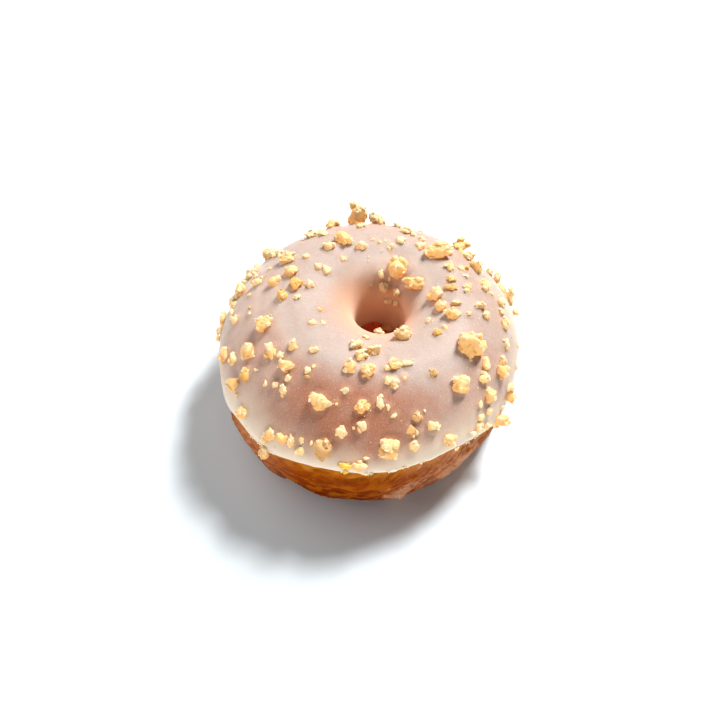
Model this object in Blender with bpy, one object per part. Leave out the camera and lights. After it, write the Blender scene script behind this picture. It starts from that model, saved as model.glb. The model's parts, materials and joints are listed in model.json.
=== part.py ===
"""An iced ring doughnut: a fried dough ring, and on it sugar icing with biscuit crumbs stuck in.

Metres, +Z up. The ring lies on Z = 0 with the origin under the middle of its box. A bearing is an
angle round the ring: 0 at the front (-Y), 90 at +X. A section is the ring cut along a bearing, as
radius and height.
"""

import math
import random

import bmesh
import bpy
import numpy as np
from mathutils import Vector, noise
from mathutils.bvhtree import BVHTree

MM = 0.001

# The iced ring's section
OUTER_RADIUS = 42.0 * MM
WIDEST_HEIGHT = 20.6 * MM
HEIGHT = 37.9 * MM
CREST_RADIUS = 22.0 * MM
WAIST_RADIUS = 7.1 * MM
WAIST_HEIGHT = 26.7 * MM
BASE_OUTER_RADIUS = 34.4 * MM
BASE_INNER_RADIUS = 14.0 * MM
FLANK_POWER = 1.6
LIP_POWER = 2.0
FOOT_POWER = 2.15
HOLE_POWER = 2.0

# How a hand-made ring differs from a turned one
RING_MIDDLE = (0.3 * MM, 0.3 * MM)
HOLE_SHIFT = (3.3 * MM, 5.2 * MM)
OUTLINE_WAVES = ((2, 0.009, -0.021), (3, 0.011, -0.006))
CREST_TILT = (-0.016, -0.052)

# Icing
ICING_THICKNESS = 1.1 * MM
ICING_GAP = 0.55 * MM
EDGE_ROUNDING = 1.4 * MM
BEAD_RISE = 0.35 * MM
BEAD_DISTANCE = 2.6 * MM
OUTER_EDGE_MM = (
    (0, 21.8), (28, 21.4), (36, 20.8), (48, 17.2), (58, 12.5), (70, 10.0), (90, 11.5), (112, 15.5),
    (130, 13.0), (152, 17.0), (176, 14.5), (198, 18.0), (220, 15.0), (244, 17.5), (262, 13.0),
    (284, 11.0), (298, 17.5), (309, 21.3), (318, 17.4), (328, 21.0), (344, 22.2),
)
HOLE_EDGE_MM = (
    (0, 17.0), (60, 15.0), (120, 14.0), (160, 13.0), (185, 15.6), (240, 16.0), (300, 17.5),
)
EDGE_BLUR_DEGREES = 7.0

# Fried crust below the icing
CRUST_RELIEF = 0.7 * MM
CRUST_SWELL = 6.0 * MM
WRINKLE_SIZE = (8.0 * MM, 8.0 * MM, 4.5 * MM)

# Facets
RING_STEPS = 60
ICED_STEPS = 13
FOOT_STEPS = 5
HOLE_FOOT_STEPS = 4
SECTION_STEPS = 40

# The view that the crumbs' places are given in: a picture of 720 x 720 pixels
EYE_DISTANCE = 379.0 * MM
EYE_ELEVATION = math.radians(54)
PIXEL = 0.2918 * MM
MIDDLE_PIXEL = (368, 391)

# Crumbs, each as its middle's place and its width and height in that view
CRUMBS = (
    (472, 345, 28, 26), (438, 251, 28, 17), (398, 267, 20, 24), (390, 449, 22, 22),
    (357, 212, 20, 22), (323, 449, 20, 22), (320, 402, 21, 19), (461, 384, 19, 19),
    (276, 437, 22, 14), (352, 466, 26, 10), (415, 283, 22, 13), (263, 324, 17, 18),
    (403, 334, 18, 17), (248, 351, 16, 18), (435, 295, 17, 15), (368, 371, 15, 16),
    (397, 364, 19, 12), (461, 246, 17, 13), (270, 351, 12, 18), (501, 420, 17, 13),
    (286, 366, 16, 13), (233, 384, 15, 14), (502, 372, 15, 14), (490, 395, 13, 16),
    (453, 314, 16, 12), (296, 284, 14, 14), (362, 406, 14, 14), (450, 440, 15, 13),
    (374, 351, 15, 12), (477, 268, 13, 14), (350, 367, 11, 16), (441, 307, 13, 13),
    (224, 355, 10, 16), (264, 453, 11, 14), (509, 296, 10, 15), (241, 290, 11, 14),
    (510, 396, 11, 14), (242, 413, 13, 12), (375, 215, 12, 12), (245, 375, 11, 13),
    (357, 345, 13, 11), (361, 356, 13, 11), (486, 364, 10, 14), (484, 377, 12, 12),
    (433, 426, 12, 12), (341, 433, 12, 12), (282, 296, 11, 13), (468, 256, 12, 11),
    (362, 427, 10, 13), (291, 441, 8, 15), (411, 431, 11, 12), (417, 417, 12, 11),
    (406, 231, 13, 10), (384, 287, 11, 12), (505, 325, 9, 14), (380, 403, 8, 15),
    (381, 222, 10, 12), (394, 383, 9, 13), (329, 247, 13, 9), (233, 360, 10, 12),
    (293, 346, 10, 12), (388, 328, 13, 9), (414, 446, 11, 11), (257, 283, 12, 9),
    (311, 235, 13, 8), (361, 246, 12, 9), (480, 306, 12, 9), (501, 303, 10, 11),
    (309, 285, 10, 10), (450, 268, 8, 12), (451, 288, 13, 7), (283, 391, 8, 12),
    (502, 361, 9, 11), (300, 451, 10, 10), (289, 272, 10, 9), (326, 270, 9, 10),
    (497, 278, 8, 11), (314, 350, 11, 8), (433, 374, 9, 10), (479, 426, 9, 10),
    (219, 331, 8, 9), (235, 320, 8, 10), (234, 304, 8, 8), (516, 312, 8, 8),
)
FINE_CRUMB_PIXELS = 16
FACET_SWELL = {1: 1.14, 2: 1.04}
CRUMB_LIFT = 0.42
CRUMB_REACH = 0.85
CRUMB_CRAGS = 0.16
CRUMB_FLOOR = ICING_GAP + 0.55 * MM

# Crumbs on the far side, spread by a seeded rule
FAR_CRUMBS = 34
FAR_BEARINGS = (95, 268)
FAR_SHARES = (0.06, 0.5)
FAR_WIDTHS = (2.3 * MM, 5.8 * MM)
FAR_SPACING = 5.0 * MM
FAR_SEED = 4
CRAG_SEED = 11


def clear_scene():
    for item in list(bpy.data.objects):
        bpy.data.objects.remove(item, do_unlink=True)


def new_collection(name):
    collection = bpy.data.collections.new(name)
    bpy.context.scene.collection.children.link(collection)
    return collection


def move_to(item, collection):
    for holder in list(item.users_collection):
        holder.objects.unlink(item)
    collection.objects.link(item)


def material(name, colour, roughness):
    made = bpy.data.materials.new(name)
    made.use_nodes = True
    shader = made.node_tree.nodes["Principled BSDF"]
    shader.inputs["Base Color"].default_value = (*colour, 1)
    shader.inputs["Roughness"].default_value = roughness
    shader.inputs["Metallic"].default_value = 0
    return made


def quarter(start, end, power, flat_first):
    """A superellipse's quarter from start to end, flat at one end and upright at the other."""
    turn = np.linspace(0, math.pi / 2, SECTION_STEPS)
    along = np.sin(turn) ** (2 / power)
    across = 1 - np.cos(turn) ** (2 / power)
    radial, upward = (along, across) if flat_first else (across, along)
    return np.array(start) + (np.array(end) - np.array(start)) * np.stack([radial, upward], -1)


def section(bearing):
    """The iced ring's section from outer foot over crest to inner foot, and the crest's index in it."""
    crest = HEIGHT * (1 + CREST_TILT[0] * math.cos(bearing) + CREST_TILT[1] * math.sin(bearing))
    corners = (
        (BASE_OUTER_RADIUS, 0), (OUTER_RADIUS, WIDEST_HEIGHT), (CREST_RADIUS, crest),
        (WAIST_RADIUS, WAIST_HEIGHT), (BASE_INNER_RADIUS, 0),
    )
    powers = (FOOT_POWER, FLANK_POWER, LIP_POWER, HOLE_POWER)
    quarters = [
        quarter(corners[i], corners[i + 1], power, flat_first=i % 2 == 0)[i > 0:]
        for i, power in enumerate(powers)
    ]
    return np.concatenate(quarters), 2 * SECTION_STEPS - 2


def lengths_along(path):
    return np.concatenate([[0], np.cumsum(np.linalg.norm(np.diff(path, axis=0), axis=1))])


def sample(path, wanted):
    """The points of a path at the wanted lengths along it, and their normals out of the ring."""
    lengths = lengths_along(path)
    points = np.stack([np.interp(wanted, lengths, path[:, i]) for i in (0, 1)], -1)
    slope = np.gradient(path, lengths, axis=0)
    slope = np.stack([np.interp(wanted, lengths, slope[:, i]) for i in (0, 1)], -1)
    normals = np.stack([slope[:, 1], -slope[:, 0]], -1)
    return points, normals / np.linalg.norm(normals, axis=1, keepdims=True)


def edge_height(table, bearing):
    """A height read from a table of bearings in degrees and heights in mm, with its corners blurred."""
    degrees, heights = np.array(table).T
    near = math.degrees(bearing) + np.linspace(-EDGE_BLUR_DEGREES, EDGE_BLUR_DEGREES, 9)
    return float(np.interp(near, degrees, heights, period=360).mean()) * MM


def icing_limits(path, crest, bearing):
    """The lengths along a section at which its icing starts and ends."""
    lengths = lengths_along(path)
    heights = path[:, 1]
    start = np.interp(edge_height(OUTER_EDGE_MM, bearing), heights[: crest + 1], lengths[: crest + 1])
    end = np.interp(-edge_height(HOLE_EDGE_MM, bearing), -heights[crest:], lengths[crest:])
    return start, end


def in_space(bearing, points):
    """Section points in space, with the outline out of round and the hole off the middle."""
    radius, height = points[:, 0], points[:, 1]
    inward = np.clip((OUTER_RADIUS - radius) / (OUTER_RADIUS - WAIST_RADIUS), 0, 1)
    wave = sum(c * math.cos(n * bearing) + s * math.sin(n * bearing) for n, c, s in OUTLINE_WAVES)
    radius = radius * (1 + wave * (1 - inward))
    x = RING_MIDDLE[0] + radius * math.sin(bearing) + HOLE_SHIFT[0] * inward
    y = RING_MIDDLE[1] - radius * math.cos(bearing) + HOLE_SHIFT[1] * inward
    return np.stack([x, y, height], -1)


def stations(start, end):
    """The lengths along a section at which the dough and the icing over it both have points."""
    middle = np.linspace(start + BEAD_DISTANCE, end - BEAD_DISTANCE, ICED_STEPS - 2)
    return np.concatenate([[start], middle, [end]])


def smooth_step(value):
    value = np.clip(value, 0, 1)
    return value * value * (3 - 2 * value)


def dough_section(bearing):
    """The dough's section: under the icing, and swelling out below it to a wrinkled crust."""
    path, crest = section(bearing)
    start, end = icing_limits(path, crest, bearing)
    total = lengths_along(path)[-1]
    foot = np.linspace(0, start, FOOT_STEPS, endpoint=False)
    hole_foot = np.linspace(total, end, HOLE_FOOT_STEPS, endpoint=False)[::-1]
    wanted = np.concatenate([foot, stations(start, end), hole_foot])
    points, normals = sample(path, wanted)
    bare = np.maximum(start - wanted, wanted - end)
    iced = 1 - smooth_step(bare / CRUST_SWELL)
    above_foot = smooth_step(np.minimum(wanted, total - wanted) / CRUST_SWELL)
    grain = [
        noise.noise(Vector(place / size for place, size in zip(spot, WRINKLE_SIZE)))
        for spot in in_space(bearing, points)
    ]
    inset = (ICING_THICKNESS + ICING_GAP) * iced - CRUST_RELIEF * (1 - iced) * above_foot * np.array(grain)
    points = points - normals * inset[:, None]
    points[[0, -1], 1] = 0
    return points


def icing_section(bearing):
    """The icing's closed section: its outer face from edge to edge, then its inner face back."""
    path, crest = section(bearing)
    start, end = icing_limits(path, crest, bearing)
    places = stations(start, end)
    near_edge = np.array([0.12, 0.8]) * EDGE_ROUNDING
    wanted = np.concatenate([start + near_edge, places[1:-1], (end - near_edge)[::-1]])
    outer, normals = sample(path, wanted)
    from_edge = np.minimum(wanted - start, end - wanted)
    rounding = 1 - np.sqrt(1 - np.clip(1 - from_edge / EDGE_ROUNDING, 0, 1) ** 2)
    bead = BEAD_RISE * np.exp(-(((wanted - start - BEAD_DISTANCE) / BEAD_DISTANCE) ** 2))
    outer = outer + normals * (bead - ICING_THICKNESS * 0.8 * rounding)[:, None]
    inner, normals = sample(path, places[::-1])
    return np.concatenate([outer, inner - normals * ICING_THICKNESS])


def ring(name, collection, section_at):
    """A torus reshaped so that each of its cross-sections follows section_at(bearing)."""
    bearings = [2 * math.pi * step / RING_STEPS for step in range(RING_STEPS)]
    points = np.stack([in_space(bearing, section_at(bearing)) for bearing in bearings])
    bpy.ops.mesh.primitive_torus_add(major_segments=RING_STEPS, minor_segments=points.shape[1])
    item = bpy.context.object
    item.name = item.data.name = name
    item.data.vertices.foreach_set("co", points.astype(np.float32).ravel())
    item.data.update()
    move_to(item, collection)
    return item


def surface_of(item):
    return BVHTree.FromPolygons(
        [vertex.co for vertex in item.data.vertices], [face.vertices for face in item.data.polygons]
    )


def view_axes():
    """The eye, and the view's directions to the right, up and towards the eye."""
    towards = Vector((0, -math.cos(EYE_ELEVATION), math.sin(EYE_ELEVATION)))
    right = Vector((1, 0, 0))
    middle = Vector((*RING_MIDDLE, 0))
    return middle + towards * EYE_DISTANCE, right, towards.cross(right), towards


def crumb_place(icing, x, y, radius):
    """A crumb's middle on the sight line through a pixel, where it comes down on the icing."""
    eye, right, up, towards = view_axes()
    across, above = (x - MIDDLE_PIXEL[0]) * PIXEL, (MIDDLE_PIXEL[1] - y) * PIXEL
    line = (right * across + up * above - towards * EYE_DISTANCE).normalized()
    point = eye + line * (EYE_DISTANCE - OUTER_RADIUS - HEIGHT)
    best = None
    for _ in range(80):
        near, normal, _, gap = icing.find_nearest(point)
        if best is None or gap < best[0]:
            best = (gap, point.copy(), near, normal)
        if gap <= CRUMB_LIFT * radius:
            break
        point += line * max(gap - CRUMB_LIFT * radius, 0.02 * MM)
    gap, point, near, normal = best
    return near + (point - near).normalized() * min(gap, CRUMB_REACH * radius)


def crumb(name, place, radii, axes, detail, draw, collection):
    """A craggy lump with the given radii along the axes, swollen to make up for its flat facets."""
    bm = bmesh.new()
    bmesh.ops.create_icosphere(bm, subdivisions=detail, radius=1)
    for vertex in bm.verts:
        lump = vertex.co * FACET_SWELL[detail] * (1 + CRUMB_CRAGS * draw.uniform(-1, 1))
        vertex.co = place + sum((axis * lump[i] * radii[i] for i, axis in enumerate(axes)), Vector())
    mesh = bpy.data.meshes.new(name)
    bm.to_mesh(mesh)
    bm.free()
    item = bpy.data.objects.new(name, mesh)
    collection.objects.link(item)
    return item


def lift_off(item, dough):
    """Pushes a crumb's points out of the dough, so that the icing alone holds it."""
    for vertex in item.data.vertices:
        near, normal, _, _ = dough.find_nearest(vertex.co)
        depth = (vertex.co - near).dot(normal)
        if depth < CRUMB_FLOOR:
            vertex.co += normal * (CRUMB_FLOOR - depth)


def shown_crumbs(icing, dough, draw, collection):
    eye, right, up, towards = view_axes()
    for number, (x, y, width, height) in enumerate(CRUMBS):
        depth = (width + height) / 2
        place = crumb_place(icing, x, y, depth / 2 * PIXEL)
        nearness = (eye - place).dot(towards) / EYE_DISTANCE
        radii = [size / 2 * PIXEL * nearness for size in (width, height, depth)]
        detail = 2 if depth >= FINE_CRUMB_PIXELS else 1
        axes = (right, up, towards)
        item = crumb(f"crumb_{number:03}", place, radii, axes, detail, draw, collection)
        lift_off(item, dough)


def far_places(icing):
    """The middle, radii and axes of each crumb on the side away from the eye, kept apart from each other."""
    rule = random.Random(FAR_SEED)
    spots, places = [], []
    while len(places) < FAR_CRUMBS:
        bearing = math.radians(rule.uniform(*FAR_BEARINGS))
        share = rule.uniform(*FAR_SHARES)
        radius = rule.triangular(*FAR_WIDTHS, FAR_WIDTHS[0]) / 2
        path, crest = section(bearing)
        start, end = icing_limits(path, crest, bearing)
        points, _ = sample(path, [start + (end - start) * share])
        spot, normal, _, _ = icing.find_nearest(Vector(in_space(bearing, points)[0]))
        if any((spot - other).length < FAR_SPACING for other in spots):
            continue
        turn = Vector([rule.gauss(0, 1) for _ in range(3)]).normalized()
        side = normal.cross(turn).normalized()
        radii = [radius * rule.uniform(0.85, 1.25), radius * rule.uniform(0.8, 1.1), radius * 0.9]
        spots.append(spot)
        places.append((spot + normal * CRUMB_LIFT * radius, radii, (side, normal.cross(side), normal)))
    return places


def far_crumbs(icing, dough, draw, collection):
    for number, (place, radii, axes) in enumerate(far_places(icing)):
        detail = 2 if max(radii) > FINE_CRUMB_PIXELS / 2 * PIXEL else 1
        item = crumb(f"far_crumb_{number:03}", place, radii, axes, detail, draw, collection)
        lift_off(item, dough)


def drop_scraps(mesh):
    """Removes every piece of a mesh but its largest."""
    bm = bmesh.new()
    bm.from_mesh(mesh)
    unseen = set(bm.verts)
    pieces = []
    while unseen:
        piece, edge = set(), [unseen.pop()]
        while edge:
            vertex = edge.pop()
            piece.add(vertex)
            linked = {near.other_vert(vertex) for near in vertex.link_edges} & unseen
            unseen -= linked
            edge.extend(linked)
        pieces.append(piece)
    pieces.sort(key=len)
    bmesh.ops.delete(bm, geom=[vertex for piece in pieces[:-1] for vertex in piece], context="VERTS")
    bm.to_mesh(mesh)
    bm.free()


def join_crumbs(icing, crumbs):
    """Fuses the crumbs to the icing, then removes their own objects and any scrap that fell loose."""
    union = icing.modifiers.new("join crumbs", "BOOLEAN")
    union.operation = "UNION"
    union.operand_type = "COLLECTION"
    union.collection = crumbs
    graph = bpy.context.evaluated_depsgraph_get()
    joined = bpy.data.meshes.new_from_object(icing.evaluated_get(graph))
    icing.modifiers.remove(union)
    drop_scraps(joined)
    icing.data = joined
    joined.name = icing.name
    for item in list(crumbs.objects):
        bpy.data.objects.remove(item, do_unlink=True)
    bpy.data.collections.remove(crumbs)


def finish(item, look, sharp_degrees):
    item.data.materials.clear()
    item.data.materials.append(look)
    item.data.shade_smooth()
    item.data.set_sharp_from_angle(angle=math.radians(sharp_degrees))


def main():
    clear_scene()
    doughnut = new_collection("ring_doughnut")
    crumbs = new_collection("crumbs")
    draw = random.Random(CRAG_SEED)
    dough = ring("dough_ring", doughnut, dough_section)
    icing = ring("icing", doughnut, icing_section)
    icing_surface, dough_surface = surface_of(icing), surface_of(dough)
    shown_crumbs(icing_surface, dough_surface, draw, crumbs)
    far_crumbs(icing_surface, dough_surface, draw, crumbs)
    join_crumbs(icing, crumbs)
    finish(dough, material("fried dough", (0.42, 0.13, 0.025), 0.5), 60)
    finish(icing, material("sugar icing", (0.80, 0.62, 0.52), 0.4), 35)


main()
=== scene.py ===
"""The looks of an iced ring doughnut: fried dough, sugar icing and biscuit crumbs in soft studio light.

Metres, +Z up. A bearing is an angle round the ring: 0 at the front (-Y), 90 at +X. A section is the
ring cut along a bearing, as radius and height. The ring follows the same named sizes as its solids
and is only stepped finer; a pixel is a place in the view's picture of 720 x 720.
"""

import json
import math
import random

import bmesh
import bpy
import numpy as np
from mathutils import Matrix, Vector, noise
from mathutils.bvhtree import BVHTree

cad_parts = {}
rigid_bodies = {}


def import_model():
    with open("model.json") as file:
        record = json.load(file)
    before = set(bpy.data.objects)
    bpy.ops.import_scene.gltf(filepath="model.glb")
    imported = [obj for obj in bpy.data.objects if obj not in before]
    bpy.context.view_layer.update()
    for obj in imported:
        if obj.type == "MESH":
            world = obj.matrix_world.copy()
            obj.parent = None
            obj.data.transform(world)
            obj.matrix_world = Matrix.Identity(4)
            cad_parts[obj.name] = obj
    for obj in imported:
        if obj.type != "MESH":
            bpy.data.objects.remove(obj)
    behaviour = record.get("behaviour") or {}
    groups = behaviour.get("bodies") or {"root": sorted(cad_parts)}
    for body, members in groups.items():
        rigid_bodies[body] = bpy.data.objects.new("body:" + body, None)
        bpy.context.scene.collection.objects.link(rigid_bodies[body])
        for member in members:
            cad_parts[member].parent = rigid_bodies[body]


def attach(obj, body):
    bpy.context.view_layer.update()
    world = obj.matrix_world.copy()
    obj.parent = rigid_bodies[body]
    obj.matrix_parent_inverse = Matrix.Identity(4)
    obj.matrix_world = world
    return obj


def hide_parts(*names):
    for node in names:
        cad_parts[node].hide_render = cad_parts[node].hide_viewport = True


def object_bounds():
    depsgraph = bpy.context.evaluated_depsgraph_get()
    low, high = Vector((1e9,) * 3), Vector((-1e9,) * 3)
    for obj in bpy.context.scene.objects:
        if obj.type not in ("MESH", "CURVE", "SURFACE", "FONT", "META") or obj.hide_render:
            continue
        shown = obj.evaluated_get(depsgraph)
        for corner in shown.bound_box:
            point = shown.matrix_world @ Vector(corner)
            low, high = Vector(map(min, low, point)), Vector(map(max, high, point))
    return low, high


for item in list(bpy.data.objects):
    bpy.data.objects.remove(item, do_unlink=True)
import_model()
SOLIDS_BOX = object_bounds()

MM = 0.001

# The iced ring's section
OUTER_RADIUS = 42.0 * MM
WIDEST_HEIGHT = 20.6 * MM
HEIGHT = 37.9 * MM
CREST_RADIUS = 22.0 * MM
WAIST_RADIUS = 7.1 * MM
WAIST_HEIGHT = 26.7 * MM
BASE_OUTER_RADIUS = 34.4 * MM
BASE_INNER_RADIUS = 14.0 * MM
FLANK_POWER = 1.6
LIP_POWER = 2.0
FOOT_POWER = 2.15
HOLE_POWER = 2.0

# How a hand-made ring differs from a turned one
RING_MIDDLE = (0.3 * MM, 0.3 * MM)
HOLE_SHIFT = (3.3 * MM, 5.2 * MM)
OUTLINE_WAVES = ((2, 0.009, -0.021), (3, 0.011, -0.006))
CREST_TILT = (-0.016, -0.052)

# Icing
ICING_THICKNESS = 1.1 * MM
ICING_GAP = 0.55 * MM
EDGE_ROUNDING = 1.4 * MM
BEAD_RISE = 0.35 * MM
BEAD_DISTANCE = 2.6 * MM
OUTER_EDGE_MM = (
    (0, 21.8), (28, 21.4), (36, 20.8), (48, 17.2), (58, 12.5), (70, 10.0), (90, 11.5), (112, 15.5),
    (130, 13.0), (152, 17.0), (176, 14.5), (198, 18.0), (220, 15.0), (244, 17.5), (262, 13.0),
    (284, 11.0), (298, 17.5), (309, 21.3), (318, 17.4), (328, 21.0), (344, 22.2),
)
HOLE_EDGE_MM = (
    (0, 17.0), (60, 15.0), (120, 14.0), (160, 13.0), (185, 15.6), (240, 16.0), (300, 17.5),
)
EDGE_BLUR_DEGREES = 7.0
EDGE_RAGGED = ((3.0, 0.35 * MM), (14.0, 0.14 * MM))
UNDULATION = 0.12 * MM
UNDULATION_SIZE = 9.0 * MM
THIN_SHARES = (
    (0, 1.0), (16, 0.9), (28, 0.6), (40, 0.42), (60, 0.34), (90, 0.18), (180, 0.12), (250, 0.2),
    (270, 0.28), (290, 0.46), (310, 0.52), (325, 0.76), (345, 0.98),
)
POOL_WIDTHS_MM = (
    (0, 5.2), (20, 6.5), (40, 8.5), (60, 9.5), (75, 12.0), (90, 13.5), (115, 13.5), (140, 8.0),
    (180, 5.0), (230, 9.0), (262, 12.0), (290, 10.0), (312, 9.5), (328, 6.5), (345, 5.0),
)
THIN_STARTS_MM = ((0, 1.5), (18, 3.5), (40, 5.5), (75, 3.0), (300, 1.5))
# Painted light: how much the icing's colour is made lighter, at each bearing, where it turns away from the
# key light
PAINTED_LIGHT_WHERE_SHADED_SHARES = ((0, 0.0), (30, 0.0), (70, 0.5), (110, 0.9), (180, 1.0), (305, 1.0), (340, 0.1))
# Painted shade: how much the icing's colour is made darker, at each bearing, where it faces the key light
PAINTED_SHADE_WHERE_LIT_SHARES = ((0, 0.3), (60, 0.6), (180, 0.5), (230, 1.0), (300, 1.0), (340, 0.3))
# Where the hole's colour begins, in mm past the crest at each bearing: warmer thin icing over the crust,
# partly painted light
HOLE_STARTS_MM = (
    (0, 5.0), (60, 7.0), (110, 7.0), (180, 7.8), (225, 6.8), (255, 5.0), (290, 4.5), (330, 4.5),
)
# The painted highlight along the icing's outer edge: its share at each bearing, and its width
LIP_HIGHLIGHT_SHARES = ((0, 0.3), (15, 0.9), (60, 1.0), (100, 0.3), (250, 0.3), (300, 0.6), (340, 0.3))
LIP_WIDTH = 0.8 * MM
MENISCUS_RISE = 0.3 * MM
MENISCUS_REACH = 0.7 * MM
CLIMBED_RADIUS = 0.6 * MM

# Drips of the outer edge, each as its bearing and half width in degrees and its drop
DRIPS = ((-1.0, 1.7, 0.7 * MM), (9.0, 1.5, 0.6 * MM), (24.0, 2.5, 0.4 * MM), (-38.0, 2.0, 0.5 * MM))

# Fried crust below the icing
CRUST_RELIEF = 0.7 * MM
CRUST_SWELL = 6.0 * MM
WRINKLE_SIZE = (8.0 * MM, 8.0 * MM, 4.5 * MM)
EDGE_STEP = 0.9 * MM
TUCK = 2.0 * MM
FOLD_SIZE = (5.0 * MM, 5.0 * MM, 1.9 * MM)
FOLD_DEPTH = 0.28 * MM
WRINKLE_SLANT = 0.8
WRINKLED_SIDE = 0.7
STREAK_SIZE = (3.6 * MM, 3.6 * MM, 1.5 * MM)
# Where the crust carries a pinkish sugar film, partly painted sheen, as bearings in degrees and shares
FILM_AND_SHEEN_SHARES = (
    (0, 0.0), (10, 0.03), (26, 0.35), (42, 0.6), (60, 0.5), (100, 0.15), (260, 0.1), (290, 0.35),
    (308, 0.42), (322, 0.2), (335, 0.0),
)
BLISTER_SIZE = 1.3 * MM
BLISTER_RISE = 0.10 * MM

# Glaze that ran down the crust, each smear as its middle's pixel, width, height and slant in degrees
GLAZE_SMEARS = (
    (403, 491, 26, 6, 28), (394, 496, 20, 6, 0), (400, 499, 7, 10, 0), (466, 458, 34, 6, 42),
    (448, 472, 20, 4, 38), (420, 467, 7, 5, 0),
)
GLAZE_RISE = 0.22 * MM
GLAZE_DROP_PIXEL = (400, 497)
GLAZE_DROP_WIDTH = 3.4 * MM
GLAZE_DROP_RISE = 1.3 * MM
GLAZE_DROP_SINK = 0.4 * MM

# Facets
RING_STEPS = 480
CRUST_STEPS = 64
HIDDEN_STEPS = 10
HOLE_CRUST_STEPS = 34
LIP_STEPS = 7
TOP_STEPS = 112
UNDERSIDE_STEPS = 24
SECTION_STEPS = 120

# The view
PICTURE_PIXELS = 720
EYE_DISTANCE = 379.0 * MM
EYE_ELEVATION = math.radians(54)
PIXEL = 0.2918 * MM
MIDDLE_PIXEL = (368, 391)
SENSOR = 36.0

# Crumbs, each as its middle's pixel and its width and height in pixels
GOLDEN_CRUMBS = (
    (472, 345, 28, 26), (438, 251, 28, 17), (398, 267, 20, 24), (390, 449, 22, 22),
    (357, 212, 20, 22), (320, 402, 21, 19), (461, 384, 19, 19), (270, 435, 13, 12),
    (282, 438, 13, 12), (264, 440, 8, 10), (359, 466, 14, 11), (415, 283, 22, 13),
    (263, 324, 17, 18), (403, 334, 18, 17), (248, 351, 16, 18), (435, 295, 17, 15),
    (368, 371, 15, 16), (395, 364, 15, 12), (407, 363, 13, 7), (461, 246, 17, 13),
    (270, 351, 12, 18), (501, 420, 17, 13), (286, 366, 16, 13), (233, 384, 15, 14),
    (502, 372, 15, 14), (490, 395, 13, 16), (453, 314, 16, 12), (362, 406, 14, 14),
    (450, 440, 15, 13), (374, 351, 15, 12), (477, 268, 13, 14), (350, 367, 11, 16),
    (441, 307, 13, 13), (224, 355, 10, 16), (264, 453, 11, 14), (509, 296, 10, 15),
    (241, 290, 11, 14), (510, 396, 11, 14), (242, 413, 13, 12), (375, 215, 12, 12),
    (357, 345, 13, 11), (361, 356, 13, 11), (486, 364, 10, 14), (484, 377, 12, 12),
    (433, 426, 12, 12), (341, 433, 12, 12), (468, 256, 12, 11), (362, 427, 10, 13),
    (291, 441, 8, 15), (406, 231, 13, 10), (505, 325, 9, 14), (381, 222, 10, 12),
    (394, 383, 9, 13), (387, 381, 7, 11), (329, 247, 13, 9), (233, 360, 10, 12),
    (293, 346, 10, 12), (414, 446, 11, 11), (257, 283, 12, 9), (311, 235, 13, 8),
    (324, 234, 9, 8), (361, 246, 12, 9), (480, 306, 12, 9), (501, 303, 10, 11),
    (309, 285, 10, 10), (450, 268, 8, 12), (283, 391, 8, 12), (502, 361, 9, 11),
    (300, 451, 10, 10), (289, 272, 10, 9), (326, 270, 9, 10), (318, 267, 8, 9),
    (497, 278, 8, 11), (490, 273, 8, 9), (314, 350, 11, 8), (312, 323, 9, 8),
    (479, 426, 9, 10), (487, 425, 8, 8), (219, 331, 8, 9), (235, 320, 8, 10),
    (234, 304, 8, 8), (516, 312, 8, 8), (272, 256, 9, 8), (297, 297, 9, 7),
    (397, 303, 8, 8), (423, 240, 8, 9), (467, 287, 9, 9), (484, 290, 8, 8),
    (456, 303, 11, 7), (486, 316, 8, 10), (379, 332, 10, 8), (488, 411, 8, 9),
    (481, 417, 8, 9), (232, 313, 6, 8), (216, 338, 5, 8), (256, 276, 8, 6),
    (237, 395, 5, 5), (337, 404, 5, 4), (388, 408, 5, 7), (404, 378, 5, 6),
    (366, 338, 8, 6), (387, 369, 8, 8), (354, 428, 4, 4), (394, 416, 7, 7),
    (425, 411, 4, 4), (302, 440, 7, 7), (457, 449, 4, 4), (498, 429, 7, 5),
    (446, 243, 6, 5), (306, 257, 7, 7), (343, 259, 7, 7), (391, 247, 7, 8),
    (373, 240, 6, 5), (380, 243, 6, 5), (386, 241, 4, 4), (389, 279, 4, 6),
    (292, 258, 6, 6), (491, 294, 5, 5), (468, 314, 6, 6), (501, 312, 8, 9),
    (445, 328, 6, 7), (250, 295, 5, 4), (270, 269, 5, 4), (262, 278, 5, 4),
    (518, 346, 4, 5), (516, 367, 4, 7), (510, 387, 9, 10), (480, 404, 6, 9),
)
PALE_CRUMBS = (
    (281, 356, 10, 8), (288, 379, 8, 9), (276, 385, 9, 7), (308, 371, 8, 8), (345, 391, 9, 8),
    (380, 403, 8, 15), (381, 274, 7, 10), (384, 287, 11, 12), (397, 292, 8, 10), (389, 301, 9, 7),
    (247, 371, 8, 5), (256, 370, 7, 4), (266, 384, 5, 9), (314, 367, 5, 5), (417, 432, 4, 7),
    (312, 443, 5, 6), (472, 433, 10, 5), (366, 458, 8, 4), (428, 321, 6, 8), (465, 276, 8, 5),
    (250, 314, 6, 5), (323, 323, 7, 6), (506, 345, 7, 12), (470, 360, 5, 6), (502, 407, 5, 6),
)
AMBER_CRUMBS = (
    (296, 284, 14, 14), (282, 296, 11, 13), (245, 375, 11, 13), (438, 333, 9, 9),
    (451, 279, 10, 8), (451, 288, 13, 7), (465, 268, 8, 6), (250, 308, 4, 4), (320, 310, 6, 6),
)
VEILED_CRUMBS = (
    (323, 449, 20, 22), (388, 328, 13, 9), (433, 374, 9, 10), (411, 431, 11, 12),
    (417, 417, 12, 11), (307, 377, 7, 5),
)
YELLOW_CRUMBS = ((345, 466, 14, 8), (345, 472, 7, 5))
CRUMB_LIFTS = (0.06, 0.34)
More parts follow.
